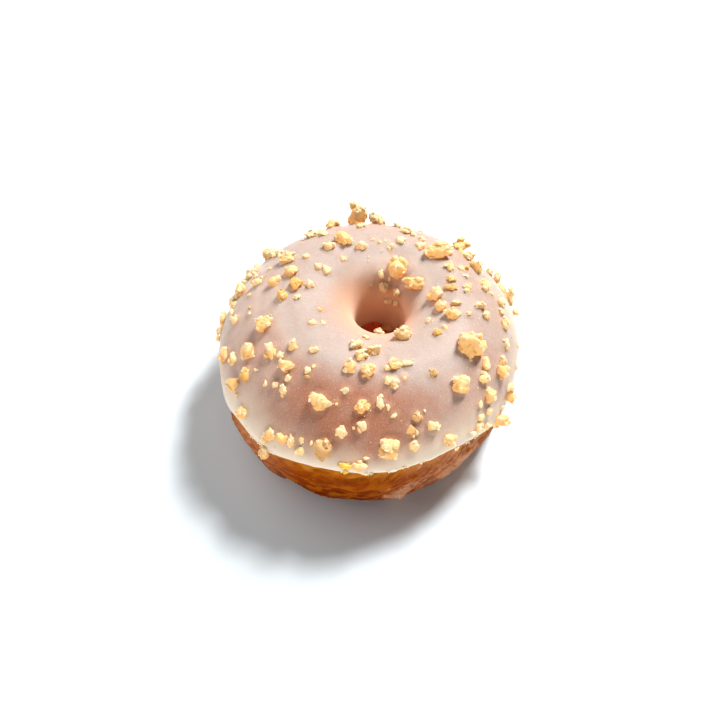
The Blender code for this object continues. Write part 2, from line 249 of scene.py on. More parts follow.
LIFTED_PIXELS = (5, 16)
GRAZING_LIFT = 0.5
CRUMB_REACH = 0.85
CRUMB_SINK = 0.7 * MM
VEILED_LIFT = 0.15
CRUMB_GROWTH = 1.1
BODY_SHARE = 0.86
LOBED_PIXELS = 9
NODULE_SHARES = (0.14, 0.28)
NODULES = 14
FINE_PIXELS = 13
LUMP_PIXELS = 12.5
LUMP_PLANES = 9
LUMP_ROUNDING = 7
BODY_CRAGS = 0.13
LOBE_CRAGS = 0.15
VEIL_REACH = 0.75 * MM
CRUMB_SEED = 21

# Sugary granules stuck on the crumbs in clusters, and crumb dust on the icing
GRANULE_RADII = (0.26 * MM, 0.62 * MM)
CLUSTER_SPACING = 2.6 * MM
CLUSTER_GRANULES = (2, 6)
DUST_GRAINS = 170
DUST_RADII = (0.14 * MM, 0.36 * MM)
DUST_SPREAD = 4.0 * MM

# Grains along the icing's edge, each as its pixel
EDGE_GRAINS = (
    (366, 474), (368, 475), (371, 474), (373, 473), (387, 471), (389, 472), (391, 471), (393, 470),
    (396, 470), (399, 469), (403, 468), (405, 467), (408, 467), (421, 463), (424, 462), (467, 444),
    (469, 443), (475, 438), (477, 436), (479, 434), (456, 449), (459, 448), (246, 427), (251, 437),
    (253, 438), (258, 443), (260, 444), (262, 446), (259, 449), (240, 418),
)
EDGE_GRAIN_RADII = (0.22 * MM, 0.45 * MM)

# Crumbs on the far side, spread by a seeded rule
FAR_CRUMBS = 34
FAR_BEARINGS = (95, 268)
FAR_SHARES = (0.06, 0.5)
FAR_WIDTHS = (2.3 * MM, 5.8 * MM)
FAR_SPACING = 5.0 * MM
FAR_SEED = 4
BOX_MARGIN = 0.05 * MM

# Light: lamps as direction, distance, width, height and share of the floor's brightness, then the room
LAMPS = {
    "key": ((0.49, 0.52, 1.0), 1.5, 0.34, 0.34, 0.60),
    "back_key": ((0.62, 0.84, 1.0), 1.5, 0.50, 0.50, 0.62),
    "front_fill": ((-0.6, -3.9, 0.56), 1.6, 1.4, 0.36, 0.085),
}
# The key light's direction, which the painted light and shade on the icing and crumbs follow
LIT = np.array(Vector((0.66, 0.84, 1.0)).normalized())
ROOM_SIDE = (-1.49, 0.768, 1.2)
ROOM_EDGE = (0.69, 0.85)
ROOM_BRIGHT = 1.2
ROOM_DIM = 0.02
BACKDROP = 0.95
FLOOR_WIDTH = 6.0
FLOOR_REFLECTANCE = 0.92
FLOOR_COLOUR = (0.79, 0.855, 0.89)


def quarter(start, end, power, flat_first):
    """A superellipse's quarter from start to end, flat at one end and upright at the other."""
    turn = np.linspace(0, math.pi / 2, SECTION_STEPS)
    along = np.sin(turn) ** (2 / power)
    across = 1 - np.cos(turn) ** (2 / power)
    radial, upward = (along, across) if flat_first else (across, along)
    return np.array(start) + (np.array(end) - np.array(start)) * np.stack([radial, upward], -1)


def section(bearing):
    """The iced ring's section from outer foot over crest to inner foot, and the crest's index in it."""
    crest = HEIGHT * (1 + CREST_TILT[0] * math.cos(bearing) + CREST_TILT[1] * math.sin(bearing))
    corners = (
        (BASE_OUTER_RADIUS, 0), (OUTER_RADIUS, WIDEST_HEIGHT), (CREST_RADIUS, crest),
        (WAIST_RADIUS, WAIST_HEIGHT), (BASE_INNER_RADIUS, 0),
    )
    powers = (FOOT_POWER, FLANK_POWER, LIP_POWER, HOLE_POWER)
    quarters = [
        quarter(corners[i], corners[i + 1], power, flat_first=i % 2 == 0)[i > 0:]
        for i, power in enumerate(powers)
    ]
    return np.concatenate(quarters), 2 * SECTION_STEPS - 2


def lengths_along(path):
    return np.concatenate([[0], np.cumsum(np.linalg.norm(np.diff(path, axis=0), axis=1))])


def sample(path, wanted):
    """The points of a path at the wanted lengths along it, and their normals out of the ring."""
    lengths = lengths_along(path)
    points = np.stack([np.interp(wanted, lengths, path[:, i]) for i in (0, 1)], -1)
    slope = np.gradient(path, lengths, axis=0)
    slope = np.stack([np.interp(wanted, lengths, slope[:, i]) for i in (0, 1)], -1)
    normals = np.stack([slope[:, 1], -slope[:, 0]], -1)
    return points, normals / np.linalg.norm(normals, axis=1, keepdims=True)


def edge_height(table, bearing):
    """A height read from a table of bearings in degrees and heights in mm, with its corners blurred."""
    degrees, heights = np.array(table).T
    near = math.degrees(bearing) + np.linspace(-EDGE_BLUR_DEGREES, EDGE_BLUR_DEGREES, 9)
    return float(np.interp(near, degrees, heights, period=360).mean()) * MM


def icing_limits(path, crest, bearing):
    """The lengths along a section at which its icing starts and ends."""
    lengths = lengths_along(path)
    heights = path[:, 1]
    start = np.interp(edge_height(OUTER_EDGE_MM, bearing), heights[: crest + 1], lengths[: crest + 1])
    end = np.interp(-edge_height(HOLE_EDGE_MM, bearing), -heights[crest:], lengths[crest:])
    return start, end


def in_space(bearing, points):
    """Section points in space, with the outline out of round and the hole off the middle."""
    radius, height = points[:, 0], points[:, 1]
    inward = np.clip((OUTER_RADIUS - radius) / (OUTER_RADIUS - WAIST_RADIUS), 0, 1)
    wave = sum(c * math.cos(n * bearing) + s * math.sin(n * bearing) for n, c, s in OUTLINE_WAVES)
    radius = radius * (1 + wave * (1 - inward))
    x = RING_MIDDLE[0] + radius * math.sin(bearing) + HOLE_SHIFT[0] * inward
    y = RING_MIDDLE[1] - radius * math.cos(bearing) + HOLE_SHIFT[1] * inward
    return np.stack([x, y, height], -1)


def smooth_step(value):
    value = np.clip(value, 0, 1)
    return value * value * (3 - 2 * value)


def noise_at(places, size, octaves=1):
    """Smooth noise of a grain of the given size at each place, about -1 to 1."""
    scaled = np.asarray(places).reshape(-1, 3) / size
    values = [noise.fractal(Vector(place), 1.0, 2.0, octaves) for place in scaled]
    return np.array(values).reshape(np.shape(places)[:-1])


def round_noise(bearing, waves):
    """Noise that closes on itself round the ring, with about so many waves in it."""
    return noise.noise(Vector((math.cos(bearing), math.sin(bearing), 0)) * waves)


def ragged_limits(path, crest, bearing):
    """The icing's limits with their fine unevenness and the outer edge's drips."""
    start, end = icing_limits(path, crest, bearing)
    for waves, size in EDGE_RAGGED:
        start += size * round_noise(bearing, waves)
        end += size * round_noise(bearing + math.pi, waves)
    for degrees, half_width, drop in DRIPS:
        off = (math.degrees(bearing) - degrees + 180) % 360 - 180
        start -= drop * math.exp(-((off / half_width) ** 2))
    return start, end


def grid_normals(grid):
    """Outward normals of a closed grid of points, in rings of sections."""
    along = np.roll(grid, -1, 1) - np.roll(grid, 1, 1)
    around = np.roll(grid, -1, 0) - np.roll(grid, 1, 0)
    normals = np.cross(around, along)
    return normals / np.linalg.norm(normals, axis=-1, keepdims=True)


def ring_bearings():
    return [2 * math.pi * step / RING_STEPS for step in range(RING_STEPS)]


def ring(name, grid, values):
    """A closed ring whose sections are the rows of a grid, with named values at its points."""
    steps, stations = grid.shape[:2]
    index = np.arange(steps * stations).reshape(steps, stations)
    onward = np.roll(index, -1, 0)
    corners = (index, onward, np.roll(onward, -1, 1), np.roll(index, -1, 1))
    mesh = bpy.data.meshes.new(name)
    mesh.from_pydata(grid.reshape(-1, 3), [], np.stack(corners, -1).reshape(-1, 4))
    mesh.shade_smooth()
    for key, numbers in values.items():
        layer = mesh.attributes.new(key, "FLOAT", "POINT")
        layer.data.foreach_set("value", np.asarray(numbers, np.float32).ravel())
    item = bpy.data.objects.new(name, mesh)
    bpy.context.scene.collection.objects.link(item)
    return item


def surface_of(item):
    return BVHTree.FromPolygons(
        [vertex.co for vertex in item.data.vertices], [face.vertices for face in item.data.polygons]
    )


def view_axes():
    """The eye, and the view's directions to the right, up and towards the eye."""
    towards = Vector((0, -math.cos(EYE_ELEVATION), math.sin(EYE_ELEVATION)))
    right = Vector((1, 0, 0))
    middle = Vector((*RING_MIDDLE, 0))
    return middle + towards * EYE_DISTANCE, right, towards.cross(right), towards


def pixels_of(points):
    """Where points show in the view's picture."""
    eye, right, up, towards = (np.array(axis) for axis in view_axes())
    off = points - eye
    nearness = EYE_DISTANCE / -(off @ towards)
    x = MIDDLE_PIXEL[0] + (off @ right) * nearness / PIXEL
    y = MIDDLE_PIXEL[1] - (off @ up) * nearness / PIXEL
    return x, y


# Dough


def crust_section(bearing):
    """A fine section of the dough, and at each of its points how far it lies below the icing."""
    path, crest = section(bearing)
    start, end = icing_limits(path, crest, bearing)
    total = lengths_along(path)[-1]
    wanted = np.concatenate([
        np.linspace(0, start + TUCK, CRUST_STEPS, endpoint=False),
        np.linspace(start + TUCK, end - TUCK, HIDDEN_STEPS, endpoint=False),
        np.linspace(end - TUCK, total, HOLE_CRUST_STEPS),
    ])
    points, normals = sample(path, wanted)
    bare = np.maximum(start - wanted, wanted - end)
    iced = 1 - smooth_step(bare / CRUST_SWELL)
    above_foot = smooth_step(np.minimum(wanted, total - wanted) / CRUST_SWELL)
    swell = noise_at(in_space(bearing, points), WRINKLE_SIZE)
    under_icing = (ICING_THICKNESS + ICING_GAP - EDGE_STEP) * smooth_step(-bare / TUCK)
    inset = EDGE_STEP * iced + under_icing - CRUST_RELIEF * (1 - iced) * above_foot * swell
    points = points - normals * inset[:, None]
    points[[0, -1], 1] = 0
    in_hole = wanted > (start + end) / 2
    return in_space(bearing, points), bare, in_hole, above_foot


def smear(points):
    """How much glaze lies at each point of the crust, from 0 to 1."""
    x, y = pixels_of(points)
    wobble = 1 + 0.9 * noise_at(points, 1.6 * MM, 3)
    amount = np.zeros(points.shape[:-1])
    for middle_x, middle_y, width, height, slant in GLAZE_SMEARS:
        turn = math.radians(slant)
        across, above = x - middle_x, middle_y - y
        along = (across * math.cos(turn) + above * math.sin(turn)) / (width / 2)
        beside = (above * math.cos(turn) - across * math.sin(turn)) / (height / 2)
        amount = np.maximum(amount, smooth_step(1.6 - 1.2 * np.hypot(along, beside) * wobble))
    return amount * (points[..., 1] < 0)


def make_dough():
    sections = [crust_section(bearing) for bearing in ring_bearings()]
    grid, bare, in_hole, above_foot = (np.stack(parts) for parts in zip(*sections))
    open_air = smooth_step(bare / (1.0 * MM)) * (0.3 + 0.7 * above_foot)
    slanted = grid - np.maximum(grid[..., :1], 0) * np.array((0, 0, WRINKLE_SLANT))
    folds = 1 - np.abs(noise_at(slanted, np.array(FOLD_SIZE), 3)) * 3.2
    depth = FOLD_DEPTH * (1 + WRINKLED_SIDE * smooth_step((grid[..., :1] / MM - 10) / 18))[..., 0]
    blisters = np.maximum(noise_at(grid, BLISTER_SIZE, 2), 0)
    glaze = smear(grid)
    streak = noise_at(slanted, np.array(STREAK_SIZE), 3)
    relief = depth * np.clip(folds, -1, 1) * (1 - 0.5 * glaze) + BLISTER_RISE * blisters
    grid = grid + grid_normals(grid) * ((relief - depth * 0.5) * open_air + GLAZE_RISE * glaze)[..., None]
    grid[..., 2] = np.maximum(grid[..., 2], 0)
    values = {
        "streak": np.clip(0.5 + streak, 0, 1),
        "film_and_sheen": round_the_ring(FILM_AND_SHEEN_SHARES) * smooth_step(0.9 - 1.6 * streak) * open_air,
        "below_edge": np.clip(bare / (20 * MM), 0, 1),
        "fold": np.clip(folds, -1, 1) * 0.5 + 0.5,
        "in_hole": in_hole,
        "glaze": glaze,
    }
    return ring("fried_ring", grid, values)


# Icing


def icing_section(bearing):
    """A fine closed section of the icing: its outer face from edge to edge, then its underside back."""
    path, crest = section(bearing)
    start, end = ragged_limits(path, crest, bearing)
    turn = np.linspace(0, math.pi / 2, LIP_STEPS, endpoint=False)
    near_edge = EDGE_ROUNDING * (1 - np.cos(turn))
    middle = np.linspace(start + EDGE_ROUNDING, end - EDGE_ROUNDING, TOP_STEPS)
    wanted = np.concatenate([start + near_edge, middle, (end - near_edge)[::-1]])
    outer, normals = sample(path, wanted)
    from_edge = np.minimum(wanted - start, end - wanted)
    rounding = 1 - np.sqrt(1 - np.clip(1 - from_edge / EDGE_ROUNDING, 0, 1) ** 2)
    bead = BEAD_RISE * np.exp(-(((wanted - start - BEAD_DISTANCE) / BEAD_DISTANCE) ** 2))
    outer = outer + normals * (bead - ICING_THICKNESS * 0.8 * rounding)[:, None]
    beneath = np.linspace(end, start, UNDERSIDE_STEPS)
    inner, inner_normals = sample(path, beneath)
    inner = inner - inner_normals * (ICING_THICKNESS + ICING_GAP + 0.2 * MM)
    points = in_space(bearing, np.concatenate([outer, inner]))
    station = np.concatenate([wanted, beneath])
    return points, station - start, end - station, lengths_along(path)[crest] - station


def make_icing_grid():
    sections = [icing_section(bearing) for bearing in ring_bearings()]
    grid, from_outer, from_hole, outward = (np.stack(parts) for parts in zip(*sections))
    outer_face = np.arange(grid.shape[1]) < 2 * LIP_STEPS + TOP_STEPS
    inside = smooth_step(np.minimum(from_outer, from_hole) / (3 * MM)) * outer_face
    wave = UNDULATION * noise_at(grid, UNDULATION_SIZE, 2) * inside
    grid = grid + grid_normals(grid) * wave[..., None]
    return grid, from_outer, outward, inside


def climb(grid, inside, crumbs):
    """Raises the icing a little round each crumb, and gives how near to a crumb each point lies."""
    points = grid.reshape(-1, 3)
    lift = np.zeros(len(points))
    for place, radius in crumbs:
        away = np.linalg.norm(points - np.array(place), axis=1) - radius * 0.8
        near = np.exp(-((np.maximum(away, 0) / MENISCUS_REACH) ** 2))
        lift = np.maximum(lift, near * (radius > CLIMBED_RADIUS))
    lift = lift.reshape(grid.shape[:-1]) * inside
    return grid + grid_normals(grid) * (MENISCUS_RISE * lift)[..., None], lift


def round_the_ring(table):
    """A table of bearings in degrees and values, read at each section of the ring."""
    return np.interp(np.degrees(ring_bearings()), *np.array(table).T, period=360)[:, None]


def film_values(grid, from_outer, outward, near_crumb):
    """What the icing's colour follows: where it ran thin or pooled, a painted highlight on its lip, the hole
    with its partly painted light, painted light and shade by how each point faces the key light, and painted
    shade round the crumbs.
    """
    slow = noise_at(grid, 13 * MM, 2)
    below_crest = smooth_step((outward / MM - round_the_ring(THIN_STARTS_MM) + 2.5 * slow) / 7)
    thin = round_the_ring(THIN_SHARES) * below_crest * (1 + 0.3 * slow)
    width = round_the_ring(POOL_WIDTHS_MM) * MM * (1 + 0.3 * noise_at(grid, 9 * MM, 2))
    pool = np.exp(-((np.maximum(from_outer, 0) / width) ** 2.4))
    lit = grid_normals(grid) @ LIT
    return {
        "thin": np.clip(thin, 0, 1),
        "pool": pool,
        # painted highlight along the outer edge
        "lip": round_the_ring(LIP_HIGHLIGHT_SHARES) * np.exp(-((np.maximum(from_outer, 0) / LIP_WIDTH) ** 2)),
        # warmer thin icing in the hole, partly painted light
        "hole": smooth_step((-outward / MM - round_the_ring(HOLE_STARTS_MM)) / 11),
        # painted light: brighter still deep in the hole
        "deep": smooth_step((-outward / MM - 12) / 7),
        # painted light on the side turned away from the key light
        "painted_light_where_shaded": round_the_ring(PAINTED_LIGHT_WHERE_SHADED_SHARES) * smooth_step((0.62 - lit) / 0.3),
        # painted shade on the side facing the key light
        "painted_shade_where_lit": round_the_ring(PAINTED_SHADE_WHERE_LIT_SHARES) * smooth_step((lit - 0.68) / 0.25),
        # painted shade round each crumb
        "near_crumb": near_crumb,
    }


# Crumbs


def unit_ball(subdivisions):
    bm = bmesh.new()
    bmesh.ops.create_icosphere(bm, subdivisions=subdivisions, radius=1)
    points = np.array([vertex.co[:] for vertex in bm.verts])
    faces = np.array([[vertex.index for vertex in face.verts] for face in bm.faces])
    bm.free()
    return points, faces


BALLS = {count: unit_ball(count) for count in (1, 2, 3, 4, 5)}


class Lumps:
    """Closed lumps gathered into one piece, each point with its tone, pit, veil and low, its painted shade
    on the side turned away from the key light.
    """

    def __init__(self):
        self.points, self.faces, self.count = [], [], 0
        self.values = {"tone": [], "pit": [], "veil": [], "low": []}

    def add(self, points, faces, **values):
        self.points.append(inside_box(points))
        self.faces.append(faces + self.count)
        self.count += len(points)
        for key, parts in self.values.items():
            parts.append(np.broadcast_to(values[key], len(points)))

    def piece(self, name, sharp_degrees):
        mesh = bpy.data.meshes.new(name)
        mesh.from_pydata(np.concatenate(self.points), [], np.concatenate(self.faces))
        for key, parts in self.values.items():
            layer = mesh.attributes.new(key, "FLOAT", "POINT")
            layer.data.foreach_set("value", np.concatenate(parts).astype(np.float32))
        mesh.shade_smooth()
        mesh.set_sharp_from_angle(angle=math.radians(sharp_degrees))
        item = bpy.data.objects.new(name, mesh)
        bpy.context.scene.collection.objects.link(item)
        return item


def some_direction(draw):
    return np.array(Vector([draw.gauss(0, 1) for _ in range(3)]).normalized())


def lump(draw, subdivisions, crags):
    """A rounded, craggy polyhedron one unit in radius, and how deep each point's pit is."""
    points, faces = BALLS[subdivisions]
    planes = np.array([some_direction(draw) for _ in range(LUMP_PLANES)])
    planes = np.concatenate([planes, -planes[:3]])
    distances = np.array([draw.uniform(0.66, 1.0) for _ in planes])
    reach = (np.maximum(points @ planes.T, 0) / distances) ** LUMP_ROUNDING
    radius = np.minimum(reach.sum(1) ** (-1 / LUMP_ROUNDING), 1.2)
    offset = some_direction(draw) * draw.uniform(5, 50)
    coarse = noise_at(points + offset, 0.55, 1)
    fine = noise_at(points + offset, 0.2, 2)
    shape = points * (radius * (1 + crags * (0.8 * coarse + 0.5 * fine)))[:, None]
    return shape / np.abs(shape).max(0), faces, np.clip(0.5 - 0.9 * coarse - 0.9 * fine, 0, 1)


def inside_box(points):
    """Points kept within the solids' box."""
    low, high = (np.array(corner) for corner in SOLIDS_BOX)
    return np.clip(points, low + BOX_MARGIN, high - BOX_MARGIN)


def settle(points, icing, floor_depth):
    """Stops points that would sink deep into the icing, and gives each point's height above it."""
    heights = np.empty(len(points))
    for number, point in enumerate(points):
        near, normal, _, _ = icing.find_nearest(Vector(point))
        height = (Vector(point) - near).dot(normal)
        if height < -floor_depth:
            points[number] = near - normal * floor_depth
            height = -floor_depth
        heights[number] = height
    return heights


def add_lump(lumps, draw, icing, middle, size, place, radii, axes, subdivisions, crags, tone, veil):
    """Adds one lump of a crumb with the given middle and size, and gives its points in space."""
    shape, faces, pit = lump(draw, subdivisions, crags)
    points = np.array(place) + (shape * radii) @ np.array(axes)
    heights = settle(points, icing, CRUMB_SINK)
    veils = veil + (0.7 - veil) * (1 - smooth_step((heights - 0.03 * MM) / min(VEIL_REACH, size * 0.5)))
    # low is painted shade, more on the side turned away from the key light
    low = smooth_step(0.5 - 0.55 * ((points - middle) @ LIT) / size)
    lumps.add(points, faces, tone=tone, pit=pit, veil=np.clip(veils, 0, 1), low=low)
    return points


# low is the grain's painted shade
def add_granule(granules, draw, spot, radius, veil, low=0.2):
    """One sugary grain, turned at random."""
    shape, faces, pit = lump(draw, 2, 0.3)
    squash = [radius * draw.uniform(0.65, 1.25) for _ in range(3)]
    spin = np.array(Vector(some_direction(draw)).to_track_quat("Z", "Y").to_matrix())
    points = spot + (shape * squash) @ spin.T
    granules.add(points, faces, tone=draw.random(), pit=pit * 0.5, veil=veil, low=low)


def add_clusters(granules, draw, points, middle, radii, outward, sugar):
    """Clusters of sugary grains on a crumb's open and upper sides, nearer its rim than its middle."""
    size = sum(radii) / 3
    wanted = sugar * 2 * math.pi * size**2 / CLUSTER_SPACING**2
    wanted = int(wanted) + (draw.random() < wanted % 1)
    for _ in range(wanted):
        side = np.array(some_direction(draw)) + outward * 0.5 + np.array((0, 0, 0.5))
        side = side / np.linalg.norm(side)
        spot = points[np.argmax((points - middle) @ side)]
        for _ in range(draw.randint(*CLUSTER_GRANULES)):
            radius = min(draw.triangular(*GRANULE_RADII, GRANULE_RADII[0]), size * 0.3)
            off = np.array(some_direction(draw)) * draw.uniform(0.3, 1.5) * radius
            at = spot - side * radius * 0.6 + off - side * max(off @ side, 0)
            # low is painted shade, more on the side turned away from the key light
            low = float(smooth_step(0.3 - 0.55 * ((at - middle) @ LIT) / size))
            add_granule(granules, draw, at, radius, 0.05, low)


def crumb_place(icing, x, y, radius, lift):
    """A crumb's middle on the sight line through a pixel, where it comes down on the icing."""
    eye, right, up, towards = view_axes()
    across, above = (x - MIDDLE_PIXEL[0]) * PIXEL, (MIDDLE_PIXEL[1] - y) * PIXEL
    line = (right * across + up * above - towards * EYE_DISTANCE).normalized()
    point = eye + line * (EYE_DISTANCE - OUTER_RADIUS - HEIGHT)
    best = None
    for _ in range(80):
        near, normal, _, gap = icing.find_nearest(point)
        if best is None or gap < best[0]:
            best = (gap, point.copy(), near, normal)
        wanted = (lift + GRAZING_LIFT * (1 - max(normal.dot(towards), 0)) ** 2) * radius
        if gap <= wanted:
            break
        point += line * max(gap - wanted, 0.02 * MM)
    gap, point, near, normal = best
    return near + (point - near).normalized() * min(gap, CRUMB_REACH * radius), normal


def add_crumb(lumps, granules, draw, icing, place, normal, radii, axes, veil, sugar):
    """A crumb: a craggy body, lobes on the larger ones, and grains of sugar."""
    pixels = (radii[0] + radii[1]) / PIXEL
    size = sum(radii) / 3
    level = 4 if pixels >= FINE_PIXELS else 3
    small = pixels < LOBED_PIXELS
    tone = draw.random()
    whole = (lumps, draw, icing, np.array(place), size)
    body = [radius * BODY_SHARE for radius in radii]
    points = add_lump(*whole, place, body, axes, level, BODY_CRAGS, tone, veil)
    lobes = 1 if small else draw.randint(3, 5)
    first = draw.uniform(0, 2 * math.pi)
    for number in range(lobes):
        turn = first + 2 * math.pi * (number + draw.uniform(-0.25, 0.25)) / lobes
        share = draw.uniform(0.4, 0.58)
        across = (axes[0] * radii[0] * math.cos(turn) + axes[1] * radii[1] * math.sin(turn)) * (1.02 - share)
        at = Vector(place) + across + normal * draw.uniform(-0.15, 0.25) * radii[2]
        lobe = [radius * share * draw.uniform(0.85, 1.1) for radius in radii]
        own_tone = tone + draw.uniform(-0.25, 0.25)
        more = add_lump(*whole, at, lobe, axes, 2 if small else 3, LOBE_CRAGS, own_tone, veil)
        points = np.concatenate([points, more])
    for _ in range(3 if small else NODULES):
        spot = Vector(points[draw.randrange(len(points))])
        share = draw.uniform(*NODULE_SHARES)
        at = place + (spot - place) * (1 - 0.4 * share)
        own_tone = tone + draw.uniform(-0.2, 0.35)
        add_lump(*whole, at, [radius * share for radius in radii], axes, 2, LOBE_CRAGS, own_tone, veil)
    add_clusters(granules, draw, points, np.array(place), radii, np.array(normal), sugar)


def crumb_lift(pixels):
    """How far a crumb's middle stands off the icing, in its radii: small crumbs sank in deeper."""
    return float(np.interp(pixels, LIFTED_PIXELS, CRUMB_LIFTS))


def far_places(icing):
    """The middle, radii and axes of each crumb on the far side, kept apart from each other."""
    rule = random.Random(FAR_SEED)
    spots, places = [], []
    while len(places) < FAR_CRUMBS:
        bearing = math.radians(rule.uniform(*FAR_BEARINGS))
        share = rule.uniform(*FAR_SHARES)
        radius = rule.triangular(*FAR_WIDTHS, FAR_WIDTHS[0]) / 2
        path, crest = section(bearing)
        start, end = icing_limits(path, crest, bearing)
        points, _ = sample(path, [start + (end - start) * share])
        spot, normal, _, _ = icing.find_nearest(Vector(in_space(bearing, points)[0]))
        if any((spot - other).length < FAR_SPACING for other in spots):
            continue
        turn = Vector([rule.gauss(0, 1) for _ in range(3)]).normalized()
        side = normal.cross(turn).normalized()
        radii = [radius * rule.uniform(0.85, 1.25), radius * rule.uniform(0.8, 1.1), radius * 0.9]
        spots.append(spot)
        lift = crumb_lift(2 * radius / PIXEL)
        places.append((spot + normal * lift * radius, radii, (side, normal.cross(side), normal)))
    return places


def add_dust(granules, draw, icing, crumbs):
    """Fine crumb dust near the crumbs."""
    for _ in range(DUST_GRAINS):
        place, radius = crumbs[draw.randrange(len(crumbs))]
        spread = radius + abs(draw.gauss(0, DUST_SPREAD))
        near, normal, _, _ = icing.find_nearest(Vector(place) + Vector(some_direction(draw)) * spread)
        size = draw.triangular(*DUST_RADII, DUST_RADII[0])
        add_granule(granules, draw, np.array(near + normal * size * 0.3), size, draw.uniform(0, 0.35))


def make_glaze_drop(dough):
    """The drop in which the glaze ended: a low bump on the crust, narrower towards its tip."""
    drop = Lumps()
    ball, faces = BALLS[4]
    place, out = crumb_place(dough, *GLAZE_DROP_PIXEL, GLAZE_DROP_RISE, 0.0)
    spot = dough.find_nearest(place)[0] - out * GLAZE_DROP_SINK
    right = view_axes()[1]
    side = (right - out * right.dot(out)).normalized()
    uneven = 1 + 0.25 * noise_at(ball, 0.5, 2)
    across = (uneven * (1 - 0.7 * smooth_step(ball[:, 2])))[:, None]
    shape = np.concatenate([ball[:, :2] * across, ball[:, 2:]], 1)
    radii = (GLAZE_DROP_WIDTH / 2, GLAZE_DROP_WIDTH / 2, GLAZE_DROP_RISE)
    points = np.array(spot) + (shape * radii) @ np.array((side, out.cross(side), out))
    drop.add(points, faces, tone=0.5, pit=0.0, veil=0.0, low=0.0)
    return drop.piece("glaze_drop", 60)


def is_lump(width, height):
    return (width + height) / 2 >= LUMP_PIXELS


def add_edge_grains(granules, draw, icing):
    """Pale grains that lie along the icing's outer edge."""
    for x, y in EDGE_GRAINS:
        radius = draw.uniform(*EDGE_GRAIN_RADII)
        place, _ = crumb_place(icing, x, y, radius, 0.4)
        add_granule(granules, draw, np.array(place), radius, 0.0)


def make_crumbs(icing):
    """The pieces of crumb by kind, and each crumb's middle and radius."""
    draw = random.Random(CRUMB_SEED)
    eye, right, up, towards = view_axes()
    kinds = {
        "golden_lumps": ([crumb for crumb in GOLDEN_CRUMBS if is_lump(*crumb[2:])], 0.0, 1.0),
        "golden_crumbs": ([crumb for crumb in GOLDEN_CRUMBS if not is_lump(*crumb[2:])], 0.0, 1.0),
        "pale_crumbs": (PALE_CRUMBS, 0.05, 1.2),
        "amber_crumbs": (AMBER_CRUMBS, 0.05, 0.3),
        "veiled_crumbs": (VEILED_CRUMBS, 0.45, 0.25),
        "yellow_crumbs": (YELLOW_CRUMBS, 0.0, 0.3),
    }
    granules = Lumps()
    gathered = {name: Lumps() for name in kinds}
    placed = []
    for name, (crumbs, veil, sugar) in kinds.items():
        for x, y, width, height in crumbs:
            depth = (width + height) / 2
            lift = VEILED_LIFT if name == "veiled_crumbs" else crumb_lift(depth)
            place, normal = crumb_place(icing, x, y, depth / 2 * PIXEL, lift)
            nearness = (eye - place).dot(towards) / EYE_DISTANCE
            radii = [size / 2 * PIXEL * nearness * CRUMB_GROWTH for size in (width, height, depth)]
            axes = (right, up, towards)
            add_crumb(gathered[name], granules, draw, icing, place, normal, radii, axes, veil, sugar)
            placed.append((place, sum(radii) / 3))
    for place, radii, axes in far_places(icing):
        width = (radii[0] + radii[1]) / PIXEL
        golden = "golden_lumps" if width >= LUMP_PIXELS else "golden_crumbs"
        name = "pale_crumbs" if draw.random() < 0.2 else golden
        add_crumb(gathered[name], granules, draw, icing, place, axes[2], radii, axes, 0.0, 0.9)
        placed.append((place, sum(radii) / 3))
    add_dust(granules, draw, icing, placed)
    add_edge_grains(granules, draw, icing)
    pieces = {name: lumps.piece(name, 50) for name, lumps in gathered.items()}
    pieces["crumb_granules"] = granules.piece("crumb_granules", 40)
    return pieces, placed


# Materials


class Look:
    """A material's nodes, with short calls that add one and give its output."""

    def __init__(self, name):
        self.material = bpy.data.materials.new(name)
        self.material.use_nodes = True
        self.tree = self.material.node_tree
        self.shader = self.tree.nodes["Principled BSDF"]
        self.place = self.tree.nodes.new("ShaderNodeTexCoord").outputs["Object"]

    def add(self, kind, inputs, **settings):
        node = self.tree.nodes.new(kind)
        for key, value in settings.items():
            setattr(node, key, value)
        for key, value in inputs.items():
            self.set(node.inputs[key], value)
        return node

    def set(self, socket, value):
        if isinstance(value, bpy.types.NodeSocket):
            self.tree.links.new(value, socket)
        else:
            socket.default_value = value

    def finish(self, **inputs):
        for key, value in inputs.items():
            self.set(self.shader.inputs[key.replace("_", " ")], value)
        return self.material

    def point_value(self, name):
        return self.add("ShaderNodeAttribute", {}, attribute_name=name).outputs["Fac"]

    def grain(self, size, detail=2.0, roughness=0.5, stretch=(1, 1, 1)):
        scale = self.add("ShaderNodeMapping", {"Vector": self.place, "Scale": stretch})
        return self.add("ShaderNodeTexNoise", {
            "Vector": scale.outputs["Vector"], "Scale": 1 / size, "Detail": detail, "Roughness": roughness,
        }).outputs["Fac"]

    def spots(self, spacing):
        cells = self.add("ShaderNodeTexVoronoi", {"Vector": self.place, "Scale": 1 / spacing})
        return cells.outputs["Distance"]

    def span(self, value, low, high, to_low=0.0, to_high=1.0):
        return self.add("ShaderNodeMapRange", {
            "Value": value, "From Min": low, "From Max": high, "To Min": to_low, "To Max": to_high,
        }).outputs["Result"]

    def sum(self, a, b, operation="ADD"):
        return self.add("ShaderNodeMath", {0: a, 1: b}, operation=operation).outputs[0]

    def blend(self, share, low, high, kind="MIX"):
        node = self.add("ShaderNodeMix", {0: share}, data_type="RGBA", blend_type=kind)
        self.set(node.inputs[6], low if isinstance(low, bpy.types.NodeSocket) else (*low, 1))
        self.set(node.inputs[7], high if isinstance(high, bpy.types.NodeSocket) else (*high, 1))
        return node.outputs[2]

    def bump(self, height, distance, strength=1.0, below=None):
        inputs = {"Height": height, "Distance": distance, "Strength": strength}
        if below is not None:
            inputs["Normal"] = below
        return self.add("ShaderNodeBump", inputs).outputs["Normal"]


